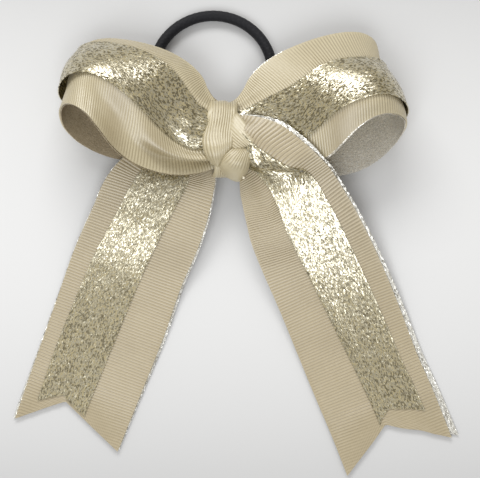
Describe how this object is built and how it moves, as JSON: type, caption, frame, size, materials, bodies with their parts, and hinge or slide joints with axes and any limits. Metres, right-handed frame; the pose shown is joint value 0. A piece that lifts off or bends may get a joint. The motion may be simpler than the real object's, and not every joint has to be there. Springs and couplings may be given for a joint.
{
  "type": "cheer hair bow",
  "caption": "Ribbon hair bow with two loops, two fishtail streamers, a tied centre knot and an elastic ring for a ponytail.",
  "frame": {"origin": "on the rest plane, under the middle of the centre knot", "axes": "+Z out of the front of the bow, +Y towards the elastic ring, -Y the way the streamers hang, +X to the viewer's right seen from the front"},
  "size_m": [0.1481, 0.1618, 0.0337],
  "materials": {
    "grosgrain": "ribbed woven",
    "metallic_gold": "embossed metallic",
    "metallic_silver": "metallic",
    "thread": "matte",
    "glue": "satin",
    "elastic_black": "braided",
    "rubber_core": "matte"
  },
  "bodies": {
    "centre": {"centre_knot_ribbon": "grosgrain", "knot_front_wrap": "grosgrain", "waist_grosgrain": "grosgrain", "waist_overlay": "metallic_gold", "waist_backing": "metallic_silver", "cinch_thread": "thread", "glue_pad": "glue"},
    "elastic": {"elastic_cover": "elastic_black", "elastic_core": "rubber_core", "elastic_crimp_sleeve": "elastic_black"},
    "left_loop": {"left_loop_grosgrain": "grosgrain", "left_loop_overlay": "metallic_gold", "left_loop_backing": "metallic_silver"},
    "right_loop": {"right_loop_grosgrain": "grosgrain", "right_loop_overlay": "metallic_gold", "right_loop_backing": "metallic_silver"},
    "left_tail": {"left_tail_grosgrain": "grosgrain", "left_tail_overlay": "metallic_gold", "left_tail_backing": "metallic_silver"},
    "right_tail": {"right_tail_grosgrain": "grosgrain", "right_tail_overlay": "metallic_gold", "right_tail_backing": "metallic_silver"}
  },
  "joints": [
    {"name": "elastic_swing", "type": "hinge", "parent": "centre", "child": "elastic", "pos_m": [-0.003, 0.006, 0.00345], "axis": [1, 0, 0], "range_deg": [-110, 0]},
    {"name": "left_loop_flex", "type": "hinge", "parent": "centre", "child": "left_loop", "pos_m": [-0.0046, 0.001, 0.01093], "axis": [0, 1, 0], "range_deg": [0, 20], "stiffness_Nm_per_rad": 0.002},
    {"name": "right_loop_flex", "type": "hinge", "parent": "centre", "child": "right_loop", "pos_m": [0.0046, 0.001, 0.01005], "axis": [0, -1, 0], "range_deg": [0, 11], "stiffness_Nm_per_rad": 0.002},
    {"name": "left_tail_lift", "type": "hinge", "parent": "left_loop", "child": "left_tail", "pos_m": [-0.02465, -0.0174, 0.0088], "axis": [-0.9481, 0.318, 0], "range_deg": [-60, 60]},
    {"name": "right_tail_lift", "type": "hinge", "parent": "right_loop", "child": "right_tail", "pos_m": [0.02065, -0.0096, 0.01885], "axis": [-0.9806, -0.1961, 0], "range_deg": [0, 80]}
  ]
}
